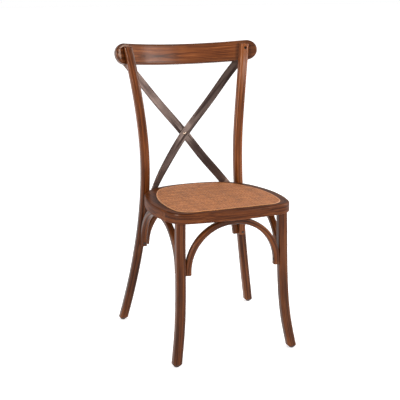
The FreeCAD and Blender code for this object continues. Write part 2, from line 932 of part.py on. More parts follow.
def build():
    os.makedirs("parts", exist_ok=True)
    rear_right = rear_leg()
    front_right = front_leg()
    rear_legs = both_sides([rear_right])
    front_legs = both_sides([front_right])
    front_rail, rear_rail, left_rail, right_rail = seat_frame(rear_legs)
    right_arch = side_arch([rear_right, front_right])

    save("rear_leg_right", rear_legs[0])
    save("rear_leg_left", rear_legs[1])
    save("front_leg_right", front_legs[0])
    save("front_leg_left", front_legs[1])
    save("crest_rail", crest_rail())
    save("seat_front_rail", front_rail)
    save("seat_rear_rail", rear_rail)
    save("seat_left_rail", left_rail)
    save("seat_right_rail", right_rail)
    save("seat_panel", drilled(tilted(seat_panel()), panel_screws()))
    save("rattan_mat", tilted(rattan_mat()))
    save("cross_strap_right", strap(1))
    save("cross_strap_left", strap(-1))
    save("cross_rivet", cross_rivet())
    save("front_arch", front_arch(front_legs))
    save("rear_arch", rear_arch(rear_legs))
    save("right_arch", right_arch)
    save("left_arch", mirrored(right_arch))
    save("crest_rail_screws", group(with_twins([crest_screw()])))
    save("strap_screws_upper", group([upper_strap_screw(1), upper_strap_screw(-1)]))
    save("strap_screws_lower", group([lower_strap_screw(1), lower_strap_screw(-1)]))
    save("arch_leg_screws", group(with_twins([front_arch_screw(), rear_arch_screw()] + side_arch_screws())))
    save("arch_seat_screws", group(front_top_screws() + rear_top_screws() + with_twins(side_top_screws())))
    save("seat_panel_screws", group(panel_screws()))
    save("rear_leg_bolts", group(with_twins([corner_bolt()])))
    save("glide_front_right", glide(front_axis))
    save("glide_front_left", mirrored(glide(front_axis)))
    save("glide_rear_right", glide(rear_axis))
    save("glide_rear_left", mirrored(glide(rear_axis)))


build()
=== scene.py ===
import bpy
import bmesh
import math
import numpy as np
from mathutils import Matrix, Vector


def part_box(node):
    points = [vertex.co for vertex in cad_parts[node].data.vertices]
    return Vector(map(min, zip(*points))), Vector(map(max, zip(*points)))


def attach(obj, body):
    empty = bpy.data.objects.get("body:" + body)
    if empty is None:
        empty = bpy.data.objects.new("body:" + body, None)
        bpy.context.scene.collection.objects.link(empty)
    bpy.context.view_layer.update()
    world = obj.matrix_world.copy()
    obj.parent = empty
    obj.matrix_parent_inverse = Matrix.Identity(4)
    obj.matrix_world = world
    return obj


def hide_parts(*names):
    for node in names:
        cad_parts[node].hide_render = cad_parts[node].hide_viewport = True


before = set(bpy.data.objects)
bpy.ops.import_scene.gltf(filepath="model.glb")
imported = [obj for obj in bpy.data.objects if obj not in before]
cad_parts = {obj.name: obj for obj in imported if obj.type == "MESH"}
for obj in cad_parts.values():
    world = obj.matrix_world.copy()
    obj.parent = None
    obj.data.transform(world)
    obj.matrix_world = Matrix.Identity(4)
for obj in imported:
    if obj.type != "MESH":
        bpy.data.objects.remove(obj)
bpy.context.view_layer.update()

print("cross back chair: frame loaded,", len(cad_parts), "nodes")


class Link:
    # a socket, with operators that add Math nodes
    def __init__(self, shader, socket):
        self.shader = shader
        self.socket = socket

    def combine(self, operation, *others):
        inputs = dict(enumerate((self,) + others))
        return self.shader.node("ShaderNodeMath", {"operation": operation}, inputs)

    def swapped(self, operation, other):
        return self.shader.node("ShaderNodeMath", {"operation": operation}, {0: other, 1: self})

    def __add__(self, other):
        return self.combine("ADD", other)

    def __radd__(self, other):
        return self.swapped("ADD", other)

    def __sub__(self, other):
        return self.combine("SUBTRACT", other)

    def __rsub__(self, other):
        return self.swapped("SUBTRACT", other)

    def __mul__(self, other):
        return self.combine("MULTIPLY", other)

    def __rmul__(self, other):
        return self.swapped("MULTIPLY", other)

    def __truediv__(self, other):
        return self.combine("DIVIDE", other)

    def __rtruediv__(self, other):
        return self.swapped("DIVIDE", other)

    def __pow__(self, other):
        return self.combine("POWER", other)

    def __rpow__(self, other):
        return self.swapped("POWER", other)

    def __abs__(self):
        return self.combine("ABSOLUTE")


nodeGrid = {"columns": 8, "width": 220, "height": 260}


class Shader:
    # one material, or the world, and the nodes made for it
    def __init__(self, name, blocks=None):
        self.material = (bpy.data.materials if blocks is None else blocks).new(name)
        self.material.use_nodes = True
        self.tree = self.material.node_tree
        self.tree.nodes.clear()
        self.count = 0

    def node(self, kind, settings=None, values=None, output=0):
        made = self.tree.nodes.new(kind)
        row, column = divmod(self.count, nodeGrid["columns"])
        made.location = (nodeGrid["width"] * column, -nodeGrid["height"] * row)
        self.count += 1
        for key, value in (settings or {}).items():
            if key == "stops":
                ramp = made.color_ramp
                while len(ramp.elements) < len(value):
                    ramp.elements.new(0.5)
                for element, (place, colour) in zip(ramp.elements, value):
                    element.position = place
                    element.color = (*colour, 1.0)
            else:
                setattr(made, key, value)
        for key, value in (values or {}).items():
            socket = made.inputs[key]
            if isinstance(value, Link):
                self.tree.links.new(value.socket, socket)
            elif socket.type == "RGBA" and len(value) == 3:
                socket.default_value = (*value, 1.0)
            else:
                socket.default_value = value
        return Link(self, made.outputs[output]) if made.outputs else None

    def place(self):
        # x, y and z of the point in metres, in the frame of the whole chair
        at = self.node("ShaderNodeTexCoord", output="Object")
        return [self.node("ShaderNodeSeparateXYZ", values={0: at}, output=i) for i in range(3)]

    def point(self, x, y, z):
        return self.node("ShaderNodeCombineXYZ", values={0: x, 1: y, 2: z})

    def noise(self, at, scale, detail=3.0, rough=0.55, distortion=0.0):
        return self.node("ShaderNodeTexNoise", values={"Vector": at, "Scale": scale, "Detail": detail,
                                                       "Roughness": rough, "Distortion": distortion})

    def ramp(self, factor, *stops):
        return self.node("ShaderNodeValToRGB", {"stops": stops}, {"Fac": factor})

    def fade(self, value, low, high, first=0.0, last=1.0):
        # first below low, last above high, smooth between
        return self.node("ShaderNodeMapRange", {"interpolation_type": "SMOOTHSTEP"},
                         {"Value": value, "From Min": low, "From Max": high, "To Min": first, "To Max": last})

    def mix(self, factor, a, b, blend="MIX"):
        return self.node("ShaderNodeMix", {"data_type": "RGBA", "blend_type": blend},
                         {"Factor": factor, 6: a, 7: b}, output=2)

    def edges(self, low, high):
        # 1 along convex edges
        near = self.node("ShaderNodeNewGeometry", output="Pointiness")
        return self.fade(near, low, high)

    def finish(self, colour, rough, bump=None, strength=0.2, distance=0.0005, **fixed):
        values = {"Base Color": colour, "Roughness": rough}
        if bump is not None:
            relief = {"Height": bump, "Strength": strength, "Distance": distance}
            values["Normal"] = self.node("ShaderNodeBump", values=relief)
        for key, value in fixed.items():
            values[key.replace("_", " ")] = value
        surface = self.node("ShaderNodeBsdfPrincipled", values=values)
        self.node("ShaderNodeOutputMaterial", values={"Surface": surface})
        return self.material


def curveFit(points, degree=4):
    # x and y of a bent axis as polynomials of its height, from millimetres to metres
    heights = [p[2] / 1000 for p in points]
    return [np.polyfit(heights, [p[i] / 1000 for p in points], degree) for i in (0, 1)]


def polynomial(value, factors):
    result = float(factors[0])
    for factor in factors[1:]:
        result = value * result + float(factor)
    return result


# wood: stained beech and ash with growth rings, fibre and pores, a painted highlight on convex edges and
# painted shade where each part's mask asks
stain = {"dark": (0.032, 0.0075, 0.0018), "mid": (0.142, 0.0365, 0.0075), "light": (0.300, 0.0940, 0.0250),
         "line": (0.034, 0.0085, 0.0025), "pore": (0.020, 0.0060, 0.0025), "paintedSheen": (0.330, 0.125, 0.050),
         "paintedShade": (0.46, 0.46, 0.52), "cutDark": (0.012, 0.006, 0.004), "cutLight": (0.045, 0.020, 0.012),
         "ringSpacing": 0.0026, "ringOffset": (0.062, 0.0341), "drift": 0.020, "wander": 0.0016,
         "gloss": 0.23, "glint": (1.0, 0.56, 0.36, 1.0), "bump": 0.22, "bumpDepth": 0.0004}

# scale along and across the grain, detail, roughness and distortion of each noise
grain = {"drift": (2.2, 9.0, 2.0, 0.55, 0.0), "wander": (9.0, 40.0, 2.0, 0.55, 0.0),
         "fibre": (26.0, 900.0, 3.0, 0.65, 0.0), "blotch": (5.0, 22.0, 3.0, 0.55, 0.0),
         "streak": (3.2, 210.0, 3.0, 0.6, 0.3), "speck": (60.0, 1500.0), "cut": 260.0}

# what a board can change: darker tone, bolder rings, own seed, contrast and lacquer
board = {"darker": 0.0, "figure": 0.8, "seed": 0.0, "contrast": 1.0, "coat": 0.23, "coatRough": 0.17,
         "shine": 0.09}


def woodFinish(shader, along, first, second, look, depth, endGrain=None):
    # along follows the grain; first and second run across it, all in metres; depth is the mask of painted
    # shade
    look = {**board, **look}
    seed = look["seed"]

    def grainNoise(name):
        lengthwise, crosswise, detail, rough, distortion = grain[name]
        at = shader.point(along * lengthwise + seed, first * crosswise, second * crosswise)
        return shader.noise(at, 1.0, detail, rough, distortion)

    u = first + stain["ringOffset"][0]
    v = second + stain["ringOffset"][1]
    radius = (u * u + v * v) ** 0.5 + grainNoise("drift") * (stain["drift"] * look["figure"])
    radius = radius + grainNoise("wander") * stain["wander"]
    phase = (radius / stain["ringSpacing"]).combine("FRACT")
    late = shader.fade(phase, 0.35, 0.97) * (1 - shader.fade(phase, 0.97, 1.0))
    fibre = grainNoise("fibre")
    blotch = grainNoise("blotch")
    streak = grainNoise("streak")
    lengthwise, crosswise = grain["speck"]
    at = shader.point(along * lengthwise, first * crosswise, second * crosswise + seed)
    pores = shader.fade(shader.noise(at, 1.0, 1.0), 0.62, 0.74)

    tone = shader.fade(blotch, 0.30, 0.72) * 0.28 + fibre * 0.28 + shader.fade(streak, 0.34, 0.66) * 0.44
    tone = (tone + (1 - late) * 0.14 - 0.58) * look["contrast"] + (0.50 - look["darker"])
    colour = shader.ramp(tone, (0.12, stain["dark"]), (0.48, stain["mid"]), (0.92, stain["light"]))
    colour = shader.mix(late * (0.30 * look["figure"] * look["contrast"]), colour, stain["line"])
    colour = shader.mix(pores * 0.50, colour, stain["pore"])
    colour = shader.mix(depth, colour, stain["paintedShade"], "MULTIPLY")  # painted shade: darker where the depth mask says
    # painted highlight: a lighter colour in patches along convex edges
    edgeWearAndHighlight = shader.edges(0.515, 0.60) * shader.fade(blotch, 0.35, 0.65)
    colour = shader.mix(edgeWearAndHighlight * 0.30, colour, stain["paintedSheen"])
    rough = stain["gloss"] + fibre * 0.12 + streak * 0.06 + pores * 0.22 - edgeWearAndHighlight * 0.05
    if endGrain is not None:
        rings = shader.noise(shader.point(first * grain["cut"], second * grain["cut"], seed), 1.0, 2.0)
        cut = shader.ramp(rings, (0.35, stain["cutDark"]), (0.65, stain["cutLight"]))
        colour = shader.mix(endGrain, colour, cut)
        rough = rough + endGrain * 0.25
    height = fibre * 0.35 - pores * 0.9 - late * 0.35
    return shader.finish(colour, rough, height, stain["bump"], stain["bumpDepth"],
                         Coat_Weight=look["coat"], Coat_Roughness=look["coatRough"],
                         Specular_IOR_Level=look["shine"], Specular_Tint=stain["glint"])


def dress(node, material):
    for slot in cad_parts[node].material_slots:
        slot.material = material


# legs: grain follows the bent axis of each leg, with painted shade making them darker under the seat
legAxis = {"rear": [(226, 173, 0), (195.7, 145, 152), (172.5, 127.5, 304), (159, 120.5, 457),
                    (157.5, 123, 548), (165.5, 131, 670), (180.5, 145.5, 792), (194.5, 164.5, 883)],
           "front": [(185.6, -229.3, 0), (175.4, -219.3, 61), (167.8, -211.6, 122), (163.8, -206.5, 183),
                     (161, -199.4, 304), (158.9, -195, 420)]}
legLook = {"cutFoot": (0.0088, 0.0096), "cutTone": 0.8, "shadeBetween": (0.30, 0.56), "paintedShade": 0.82}


def legFinish(name, axis, look):
    shader = Shader(name)
    x, y, z = shader.place()
    fitX, fitY = curveFit(axis)
    first = abs(x) - polynomial(z, fitX)
    second = y - polynomial(z, fitY)
    foot = 1 - shader.fade(z, *legLook["cutFoot"])
    # painted shade: darker low down, fading out towards the seat
    shadeUnderSeat = shader.fade(z, *legLook["shadeBetween"], legLook["paintedShade"], 0.0)
    return woodFinish(shader, z, first, second, look, shadeUnderSeat, foot * legLook["cutTone"])


legs = {"rear_leg_right": ("rear", {"seed": 3.1, "darker": 0.03}),
        "rear_leg_left": ("rear", {"seed": 8.4, "darker": 0.14}),
        "front_leg_right": ("front", {"seed": 5.7, "darker": 0.12}),
        "front_leg_left": ("front", {"seed": 1.9, "darker": 0.03})}
for node, (kind, look) in legs.items():
    dress(node, legFinish("walnutStain." + node, legAxis[kind], look))

# crest rail: flat-sawn face with cathedral figure, grain bent with the rail, and painted shade at its edges,
# ends and against the posts
crestRail = {"middle": (0.0, 0.2205, 0.8485), "lean": 12.5, "radius": 0.450,
             "archAt": -0.085, "archReach": 0.085, "archBow": 0.007, "archRise": -0.006,
             "archOpening": 0.004, "ringShare": 0.62,
             "edgeBand": (0.013, 0.031), "edgeShade": 0.70, "endShadeBand": (0.178, 0.206),
             "postAt": 0.1886, "postSlope": 0.154, "postHalf": 0.0145, "postShadowWidth": 0.009, "postShadow": 0.95,
             "postShadowFront": (-0.009, -0.003),
             "look": {"seed": 2.6, "darker": 0.02, "coat": 0.29, "shine": 0.11}}


def crestRailFinish():
    shader = Shader("walnutStain.crestRail")
    x, y, z = shader.place()
    lean = math.radians(crestRail["lean"])
    dy = y - crestRail["middle"][1]
    dz = z - crestRail["middle"][2]
    back = dy * math.cos(lean) - dz * math.sin(lean)
    rise = dy * math.sin(lean) + dz * math.cos(lean)
    depth = (x * x + (back + crestRail["radius"]) ** 2.0) ** 0.5 - crestRail["radius"]
    # the rings bow across the face, so that they open into arches left of the middle
    away = (x - crestRail["archAt"]) / crestRail["archReach"]
    bow = crestRail["archBow"] / (1 + away * away)
    spread = abs(rise - crestRail["archRise"]) + crestRail["archOpening"]
    figure = (spread * spread + bow * bow * 4.0) ** 0.5 * crestRail["ringShare"]
    # painted shade: darker towards the top and bottom edges of the face and at both ends
    edge = shader.fade(abs(rise), *crestRail["edgeBand"]) * crestRail["edgeShade"]
    endShade = shader.fade(abs(x), *crestRail["endShadeBand"])
    # painted shadow in the corners against the two posts, on the front only
    post = abs(abs(x) - crestRail["postAt"] - dz * crestRail["postSlope"]) - crestRail["postHalf"]
    postShadow = shader.fade(post, 0.0, crestRail["postShadowWidth"], crestRail["postShadow"], 0.0)
    postShadow = postShadow * shader.fade(depth, *crestRail["postShadowFront"], 1.0, 0.0)
    paintedShade = edge.combine("MAXIMUM", endShade).combine("MAXIMUM", postShadow)
    return woodFinish(shader, x, figure, depth * 0.3, crestRail["look"], paintedShade)


dress("crest_rail", crestRailFinish())

# seat frame: the grain of each board follows the outline round the corners
seatFrame = {"width": 406, "widestY": -75, "side": 420, "frontY": -236, "front": 900, "frontCorner": 60,
             "rearY": 166, "rear": 400, "rearCorner": 147, "middleZ": 0.43, "bend": 0.045, "paintedShade": 0.55,
             "look": {"darker": 0.08, "contrast": 0.75, "coat": 0.25, "coatRough": 0.30, "shine": 0.0}}


def cornerCentre(a, radiusA, b, radiusB, radius):
    # centre of the rounded corner between two arcs, on the right side
    reachA = radiusA - radius
    reachB = radiusB - radius
    span = b - a
    distance = span.length
    along = (reachA * reachA - reachB * reachB + distance * distance) / (2 * distance)
    across = math.sqrt(reachA * reachA - along * along)
    unit = span / distance
    normal = Vector((-unit.y, unit.x))
    middle = a + unit * along
    return max((middle + normal * across, middle - normal * across), key=lambda p: p.x)


def seatBoardFinish(name, side, seed):
    shader = Shader(name)
    x, y, z = shader.place()
    sideCentre = Vector((seatFrame["width"] / 2 - seatFrame["side"], seatFrame["widestY"]))
    end = "rear" if "rear" in name else "front"
    outward = 1 if end == "rear" else -1
    endCentre = Vector((0, seatFrame[end + "Y"] - outward * seatFrame[end]))
    corner = seatFrame[end + "Corner"]
    centre = cornerCentre(sideCentre, seatFrame["side"], endCentre, seatFrame[end], corner) / 1000
    ahead = (y - centre.y) if end == "rear" else (centre.y - y)
    sideways = (abs(x) - centre.x).combine("MAXIMUM", 0.0)
    forward = ahead.combine("MAXIMUM", 0.0)
    inset = corner / 1000 - (sideways * sideways + forward * forward) ** 0.5
    if side:
        along = y.combine("MAXIMUM", centre.y) - forward.combine("ARCTAN2", sideways) * seatFrame["bend"]
    else:
        reached = abs(x).combine("MINIMUM", centre.x)
        reached = reached + sideways.combine("ARCTAN2", forward) * seatFrame["bend"]
        along = reached * x.combine("SIGN")
    look = {**seatFrame["look"], "seed": seed}
    # painted shade: every board is darkened as a whole
    return woodFinish(shader, along, inset, z - seatFrame["middleZ"], look, seatFrame["paintedShade"])


seatBoards = {"seat_front_rail": (False, 6.2), "seat_rear_rail": (False, 9.5),
              "seat_left_rail": (True, 4.4), "seat_right_rail": (True, 7.3)}
for node, (side, seed) in seatBoards.items():
    dress(node, seatBoardFinish("walnutStain." + node, side, seed))

# arches: bent strips, grain follows the bend, dark end grain on the cut feet, painted shade towards the top
# under the seat
archStrip = {"thickness": 0.018, "bend": 0.136, "footHeight": 0.264, "cutReach": (0.0002, 0.0012),
             "cutTone": 0.9, "shadeFrom": 0.06, "paintedShade": (0.50, 0.95),
             "look": {"darker": 0.06, "figure": 0.7}}


def archFinish(name, acrossX, middle, half, top, seed):
    # the middle line of the strip: half its span and the height of its top
    shader = Shader(name)
    x, y, z = shader.place()
    run = (x if acrossX else y) - middle
    depth = y if acrossX else abs(x)
    bend = archStrip["bend"]
    centre = top - bend
    sideways = (abs(run) - (half - bend)).combine("MAXIMUM", 0.0)
    upward = (z - centre).combine("MAXIMUM", 0.0)
    below = (centre - z).combine("MAXIMUM", 0.0)
    radius = (sideways * sideways + upward * upward) ** 0.5
    angle = upward.combine("ARCTAN2", sideways)
    along = (angle * bend - below) * run.combine("SIGN")
    cutLow, cutHigh = archStrip["cutReach"]
    cut = 1 - shader.fade(z, archStrip["footHeight"] + cutLow, archStrip["footHeight"] + cutHigh)
    cut = cut * archStrip["cutTone"]
    # painted shade: the whole strip is darkened, more towards the top under the seat
    paintedShade = shader.fade(z, top - archStrip["shadeFrom"], top, *archStrip["paintedShade"])
    look = {**archStrip["look"], "seed": seed}
    return woodFinish(shader, along, radius - bend, depth * 0.9 + 0.01, look, paintedShade, cut)


arches = {"front_arch": (True, 1.2), "rear_arch": (True, 3.9), "right_arch": (False, 6.6),
          "left_arch": (False, 9.1)}
for node, (acrossX, seed) in arches.items():
    low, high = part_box(node)
    axis = 0 if acrossX else 1
    middle = (low[axis] + high[axis]) / 2
    half = (high[axis] - low[axis] - archStrip["thickness"]) / 2
    top = high[2] - archStrip["thickness"] / 2
    dress(node, archFinish("walnutStain." + node, acrossX, middle, half, top, seed))
print("wood finished")

# straps: brushed metal with a dark patina, rubbed at the edges, with painted shade round the crossing and a
# painted sheen on one strap
strapMetal = {"angle": 51.2, "dark": (0.018, 0.0100, 0.0085), "mid": (0.066, 0.0400, 0.0340),
              "rubbedAndSheen": (0.280, 0.205, 0.175), "paintedShade": (0.42, 0.40, 0.40), "round": 0.45,
              "roundReach": (0.010, 0.050), "sheenRise": 0.085, "sheenReach": (0.020, 0.075)}

crossing = sum(corner[2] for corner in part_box("cross_rivet")) / 2


def strapFinish(name, side, seed, shadeAbove, paintedSheen):
    shader = Shader(name)
    x, y, z = shader.place()
    turn = math.radians(strapMetal["angle"])
    along = x * (side * math.cos(turn)) + z * math.sin(turn)
    across = z * math.cos(turn) - x * (side * math.sin(turn))
    brushed = shader.noise(shader.point(along * 14.0 + seed, across * 1500.0, y * 200.0), 1.0, 3.0, 0.6)
    patina = shader.noise(shader.point(along * 9.0, across * 120.0, seed), 1.0, 3.0, 0.5)
    scratches = shader.noise(shader.point(along * 5.0 + seed, across * 520.0, y * 80.0), 1.0, 2.0, 0.5)
    tone = patina * 0.16 + brushed * 0.46 + scratches * 0.46 - 0.04
    colour = shader.ramp(tone, (0.15, strapMetal["dark"]), (0.85, strapMetal["mid"]))
    # painted shade round the crossing and above it on the right strap, and a painted sheen in one place on
    # the left strap
    near = 1 - shader.fade(abs(z - crossing), *strapMetal["roundReach"])
    shadeAboveMask = shader.fade(z, crossing, crossing + 0.03)
    colour = shader.mix(near * strapMetal["round"] + shadeAboveMask * shadeAbove, colour, strapMetal["paintedShade"], "MULTIPLY")
    # painted sheen: a lighter patch above the crossing
    sheenPatch = 1 - shader.fade(abs(z - crossing - strapMetal["sheenRise"]), *strapMetal["sheenReach"])
    colour = shader.mix(sheenPatch * paintedSheen, colour, strapMetal["rubbedAndSheen"])
    edgeWearAndHighlight = shader.edges(0.51, 0.57) * shader.fade(patina, 0.35, 0.6)
    colour = shader.mix(edgeWearAndHighlight * 0.7, colour, strapMetal["rubbedAndSheen"])
    rough = 0.36 + brushed * 0.14 - edgeWearAndHighlight * 0.08 + scratches * 0.06
    return shader.finish(colour, rough, brushed + scratches, 0.12, 0.0002,
                         Metallic=0.9, Coat_Weight=0.05, Coat_Roughness=0.3)


# the right strap takes painted shade above the crossing, the left one a painted sheen
dress("cross_strap_right", strapFinish("brushedBronze.right", 1, 2.0, 0.5, 0.0))
dress("cross_strap_left", strapFinish("brushedBronze.left", -1, 7.0, 0.0, 0.22))

# screws, bolts and rivet: smeared metal, brighter on the edges
steel = {"bronzeRivet": {"dark": (0.20, 0.15, 0.12), "light": (0.46, 0.37, 0.30), "gloss": 0.24,
                         "metal": 1.0},
         "blackOxideScrew": {"dark": (0.010, 0.009, 0.009), "light": (0.050, 0.044, 0.040), "gloss": 0.32,
                             "metal": 0.9},
         "zincScrew": {"dark": (0.20, 0.19, 0.17), "light": (0.46, 0.44, 0.40), "gloss": 0.26, "metal": 1.0}}
edgeShine = 1.8


def steelFinish(name):
    look = steel[name]
    shader = Shader(name)
    x, y, z = shader.place()
    at = shader.point(x, y, z)
    smear = shader.noise(at, 900.0, 3.0)
    spots = shader.noise(at, 260.0, 2.0)
    colour = shader.ramp(smear * 0.6 + spots * 0.4, (0.3, look["dark"]), (0.7, look["light"]))
    bright = tuple(min(1.0, c * edgeShine) for c in look["light"])
    colour = shader.mix(shader.edges(0.52, 0.60) * 0.5, colour, bright)
    return shader.finish(colour, look["gloss"] + smear * 0.18, smear, 0.12, 0.0001, Metallic=look["metal"])


rivetSteel = steelFinish("bronzeRivet")
screwSteel = steelFinish("blackOxideScrew")
zincSteel = steelFinish("zincScrew")
dress("cross_rivet", rivetSteel)
dress("rear_leg_bolts", zincSteel)

# glides: dark nylon, scuffed grey where it meets the floor
glide = {"dark": (0.010, 0.008, 0.007), "light": (0.034, 0.028, 0.024), "scuffed": (0.105, 0.095, 0.085),
         "scuffReach": (0.0002, 0.0016)}


def glideFinish():
    shader = Shader("nylonGlide")
    x, y, z = shader.place()
    scuff = shader.noise(shader.point(x * 700.0, y * 700.0, z * 90.0), 1.0, 3.0)
    grit = shader.noise(shader.point(x, y, z), 1400.0, 2.0)
    floorward = 1 - shader.fade(z, *glide["scuffReach"])
    colour = shader.ramp(scuff, (0.3, glide["dark"]), (0.75, glide["light"]))
    colour = shader.mix(floorward * 0.6, colour, glide["scuffed"])
    return shader.finish(colour, 0.48 + grit * 0.2 + floorward * 0.1, grit, 0.2, 0.0001)


nylon = glideFinish()
for node in ("glide_front_right", "glide_front_left", "glide_rear_right", "glide_rear_left"):
    dress(node, nylon)

# panel: bare birch plywood, five layers with thin glue lines
panel = {"layer": 0.0018, "tilt": 1.5, "dark": (0.210, 0.110, 0.052), "light": (0.400, 0.245, 0.130),
         "glue": (0.120, 0.060, 0.030)}


def plyFinish():
    shader = Shader("birchPly")
    x, y, z = shader.place()
    layer = ((z + y * math.tan(math.radians(panel["tilt"]))) / panel["layer"]).combine("FRACT")
    fibre = shader.noise(shader.point(x * 9.0, y * 260.0, z * 40.0), 1.0, 4.0, 0.6)
    rays = shader.noise(shader.point(x * 3.0, y * 26.0, 1.0), 1.0, 3.0, 0.6, 0.8)
    colour = shader.ramp(fibre * 0.55 + rays * 0.5, (0.30, panel["dark"]), (0.72, panel["light"]))
    glue = shader.fade(abs(layer - 0.5), 0.38, 0.48)
    colour = shader.mix(glue * 0.12, colour, panel["glue"])
    return shader.finish(colour, 0.55 + fibre * 0.16, fibre, 0.25, 0.0004)


dress("seat_panel", plyFinish())
print("metal, glides and panel finished")


def meshPiece(name, points, faces, materials, slots=None):
    mesh = bpy.data.meshes.new(name)
    mesh.from_pydata([tuple(p) for p in points], [], faces)
    for material in materials:
        mesh.materials.append(material)
    if slots is not None:
        mesh.polygons.foreach_set("material_index", slots)
    mesh.polygons.foreach_set("use_smooth", [True] * len(mesh.polygons))
    mesh.update()
    piece = bpy.data.objects.new(name, mesh)
    bpy.context.collection.objects.link(piece)
    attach(piece, "root")
    return piece


def ringFaces(rows, segments, first=0, closed=False):
    # quads between rings of points that follow one another
    faces = []
    for row in range(rows if closed else rows - 1):
        near = first + row * segments
        far = first + (row + 1) % rows * segments
        for k in range(segments):
            n = (k + 1) % segments
            faces.append((near + k, near + n, far + n, far + k))
    return faces


# woven seat in millimetres: strands over and under each other on a low dome, rolled down at the edge
seatMat = {"width": 346, "widestY": -97, "side": 405, "frontY": -218, "front": 1300, "frontCorner": 60,
           "rearY": 138, "rear": 265, "rearCorner": 80, "clearance": 0.4, "base": 446.2, "rim": 452.2,
           "domeRadius": 3600, "tilt": 1.5, "pivot": (-201.5, 418.7), "roll": 3.2}


def matOutline(steps=40):
    # points round the edge, from the front middle to the rear middle and back on the left
    inset = seatMat["clearance"]
    side = seatMat["side"] - inset
    front = seatMat["front"] - inset
    rear = seatMat["rear"] - inset
    cornerFront = seatMat["frontCorner"] - inset
    cornerRear = seatMat["rearCorner"] - inset
    sideCentre = Vector((seatMat["width"] / 2 - seatMat["side"], seatMat["widestY"]))
    frontCentre = Vector((0, seatMat["frontY"] + seatMat["front"]))
    rearCentre = Vector((0, seatMat["rearY"] - seatMat["rear"]))
    turnFront = cornerCentre(sideCentre, side, frontCentre, front, cornerFront)
    turnRear = cornerCentre(sideCentre, side, rearCentre, rear, cornerRear)

    def toward(centre, point, radius):
        return centre + (point - centre).normalized() * radius

    def sweep(centre, start, end, radius, count):
        a = math.atan2(start.y - centre.y, start.x - centre.x)
        b = math.atan2(end.y - centre.y, end.x - centre.x)
        angles = [a + (b - a) * i / count for i in range(count)]
        return [centre + Vector((math.cos(angle), math.sin(angle))) * radius for angle in angles]

    frontMiddle = Vector((0, seatMat["frontY"] + inset))
    rearMiddle = Vector((0, seatMat["rearY"] - inset))
    frontEnd = toward(frontCentre, turnFront, front)
    sideFront = toward(sideCentre, turnFront, side)
    sideRear = toward(sideCentre, turnRear, side)
    rearEnd = toward(rearCentre, turnRear, rear)
    half = sweep(frontCentre, frontMiddle, frontEnd, front, steps)
    half += sweep(turnFront, frontEnd, sideFront, cornerFront, steps)
    half += sweep(sideCentre, sideFront, sideRear, side, 2 * steps)
    half += sweep(turnRear, sideRear, rearEnd, cornerRear, steps)
    half += sweep(rearCentre, rearEnd, rearMiddle, rear, steps)
    right = [(p.x, p.y) for p in half]
    left = [(-x, y) for x, y in right[:0:-1]]
    return np.array(right + [(0.0, rearMiddle.y)] + left)


outline = matOutline()
matMiddle = (seatMat["frontY"] + seatMat["rearY"]) / 2


def edgeDistance(points, batch=4000):
    # shortest way from each point to the edge of the mat
    run = np.roll(outline, -1, axis=0) - outline
    length = (run ** 2).sum(1)
    best = np.empty(len(points))
    for first in range(0, len(points), batch):
        delta = points[first:first + batch, None, :] - outline[None]
        share = np.clip((delta * run).sum(2) / length, 0, 1)
        gap = delta - share[..., None] * run
        best[first:first + batch] = np.sqrt((gap ** 2).sum(2).min(1))
    return best


def matTop(points, distance):
    # height of the mat's top, given each point's way to the edge
    reach = seatMat["width"] / 2
    radius = seatMat["domeRadius"]
    drop = radius - math.sqrt(radius ** 2 - reach ** 2)
    out = points[:, 0] ** 2 + (points[:, 1] - matMiddle) ** 2
    top = seatMat["rim"] + drop - (radius - np.sqrt(radius ** 2 - out))
    roll = seatMat["roll"]
    inside = np.clip(roll - distance, 0, roll)
    return top - (roll - np.sqrt(roll ** 2 - inside ** 2))


def tilted(points):
    # from the level mat in millimetres to the tilted one in metres
    turn = -math.radians(seatMat["tilt"])
    pivotY, pivotZ = seatMat["pivot"]
    y = points[:, 1] - pivotY
    z = points[:, 2] - pivotZ
    return np.stack([points[:, 0], pivotY + y * math.cos(turn) - z * math.sin(turn),
                     pivotZ + y * math.sin(turn) + z * math.cos(turn)], 1) / 1000


def crossings(value, axis):
    # where the line at this value meets the outline, lowest and highest
    start = outline
    end = np.roll(outline, -1, axis=0)
    hit = (start[:, axis] - value) * (end[:, axis] - value) <= 0
    start = start[hit]
    end = end[hit]
    span = end[:, axis] - start[:, axis]
    sloped = np.abs(span) > 1e-9
    share = np.where(sloped, (value - start[:, axis]) / np.where(sloped, span, 1), 0)
    met = start[:, 1 - axis] + share * (end[:, 1 - axis] - start[:, 1 - axis])
    return (met.min(), met.max()) if len(met) > 1 else (0, 0)


strand = {"pitch": 5.4, "width": 4.9, "thickness": 1.0, "lift": 0.62, "trim": 1.0, "settle": 4.0,
          "profile": [(-0.5, -0.5), (-0.30, 0.32), (0.0, 0.5), (0.30, 0.32), (0.5, -0.5)],
          "dark": (0.060, 0.016, 0.0035), "mid": (0.340, 0.112, 0.0270), "light": (0.700, 0.280, 0.0900),
          "knot": (0.130, 0.050, 0.020)}


